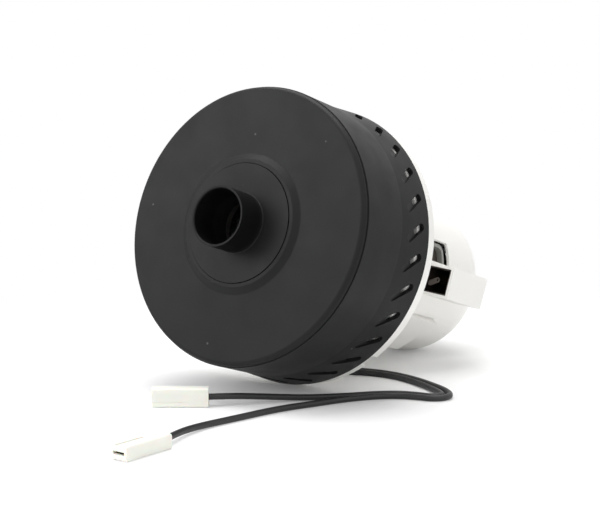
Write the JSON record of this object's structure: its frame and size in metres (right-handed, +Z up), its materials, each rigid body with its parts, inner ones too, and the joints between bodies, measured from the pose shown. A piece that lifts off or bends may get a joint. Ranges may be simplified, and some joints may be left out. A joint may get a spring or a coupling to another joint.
{
  "type": "vacuum motor unit",
  "caption": "Two-stage bypass vacuum motor with a black inlet hood, a white motor housing and two short leads with push-on connectors.",
  "frame": {"origin": "on the table that the unit lies on, under the middle of its box without the leads", "axes": "+Z up, -Y towards the inlet, which points 16.2 degrees upwards, +X to the side with the visible brush box"},
  "size_m": [0.175, 0.339, 0.1681],
  "materials": {
    "hood_plastic": "moulded black plastic with a fine satin grain",
    "white_plastic": "warm white moulded plastic",
    "black_rubber": "matt black rubber",
    "cast_aluminium": "die cast, bead blasted",
    "sheet_aluminium": "pressed sheet, satin",
    "shroud_metal": "dull dark plated sheet",
    "plain_steel": "ground steel",
    "zinc_steel": "zinc plated",
    "bearing_steel": "polished bearing steel",
    "spring_steel": "drawn spring wire",
    "iron_laminations": "stacked laminations, dull",
    "copper_winding": "enamelled copper wire",
    "commutator_copper": "turned copper",
    "brown_moulding": "brown moulding compound",
    "fan_plastic": "dark moulded plastic",
    "brush_carbon": "pressed carbon",
    "brass": "stamped brass",
    "dull_brass": "brown tarnished strip",
    "grey_insulator": "light grey insulating moulding",
    "lead_jacket": "smooth black insulation",
    "cream_nylon": "cream nylon"
  },
  "bodies": {
    "housing": {"bearing_bracket": "cast_aluminium", "bracket_screws": "zinc_steel", "brush_cap_left": "brown_moulding", "brush_cap_right": "brown_moulding", "brush_holder_left": "brown_moulding", "brush_holder_right": "brown_moulding", "brush_spring_left": "spring_steel", "brush_spring_right": "spring_steel", "brush_terminal_left": "dull_brass", "brush_terminal_right": "dull_brass", "brush_tube_left": "brass", "brush_tube_right": "brass", "coil_guard_left": "grey_insulator", "coil_guard_right": "grey_insulator", "connector_one": "cream_nylon", "connector_two": "cream_nylon", "fan_shroud": "shroud_metal", "field_coil_lower": "copper_winding", "field_coil_upper": "copper_winding", "front_bearing_outer": "bearing_steel", "guide_plate": "sheet_aluminium", "hood_screws": "zinc_steel", "inlet_hood": "hood_plastic", "inlet_seal": "black_rubber", "inlet_spigot": "hood_plastic", "lead_grommet": "black_rubber", "lead_one": "lead_jacket", "lead_two": "lead_jacket", "motor_housing": "white_plastic", "rear_bearing_outer": "bearing_steel", "stator_core": "iron_laminations", "stator_screws": "zinc_steel", "terminal_one": "brass", "terminal_two": "brass"},
    "rotor": {"motor_shaft": "plain_steel", "impeller_rear": "sheet_aluminium", "impeller_front": "sheet_aluminium", "impeller_spacer": "plain_steel", "fan_washers": "zinc_steel", "fan_nut": "zinc_steel", "front_bearing_inner": "bearing_steel", "rear_bearing_inner": "bearing_steel", "armature_core": "iron_laminations", "armature_winding": "copper_winding", "commutator": "commutator_copper", "commutator_hub": "brown_moulding", "cooling_fan": "fan_plastic"},
    "front_ball_set": {"front_bearing_balls": "bearing_steel", "front_bearing_cage": "zinc_steel"},
    "rear_ball_set": {"rear_bearing_balls": "bearing_steel", "rear_bearing_cage": "zinc_steel"},
    "brush_left": {"carbon_brush_left": "brush_carbon"},
    "brush_right": {"carbon_brush_right": "brush_carbon"}
  },
  "joints": [
    {"name": "rotor_spin", "type": "hinge", "parent": "housing", "child": "rotor", "pos_m": [0, -0.03122, 0.07805], "axis": [0, -0.9605, 0.2784], "continuous": true},
    {"name": "front_balls_spin", "type": "hinge", "parent": "housing", "child": "front_ball_set", "pos_m": [0, -0.02248, 0.07551], "axis": [0, -0.9605, 0.2784], "continuous": true},
    {"name": "rear_balls_spin", "type": "hinge", "parent": "housing", "child": "rear_ball_set", "pos_m": [0, 0.10373, 0.03893], "axis": [0, -0.9605, 0.2784], "continuous": true},
    {"name": "brush_left_slide", "type": "slide", "parent": "housing", "child": "brush_left", "axis": [-0.9938, 0.031, 0.1071], "range_m": [0, 0.006], "stiffness_N_per_m": 300, "deforming": ["brush_spring_left"]},
    {"name": "brush_right_slide", "type": "slide", "parent": "housing", "child": "brush_right", "axis": [0.9938, -0.031, -0.1071], "range_m": [0, 0.006], "stiffness_N_per_m": 300, "deforming": ["brush_spring_right"]}
  ],
  "couplings": [
    {"joint": "front_balls_spin", "follows": "rotor_spin", "ratio": 0.37},
    {"joint": "rear_balls_spin", "follows": "rotor_spin", "ratio": 0.37}
  ]
}
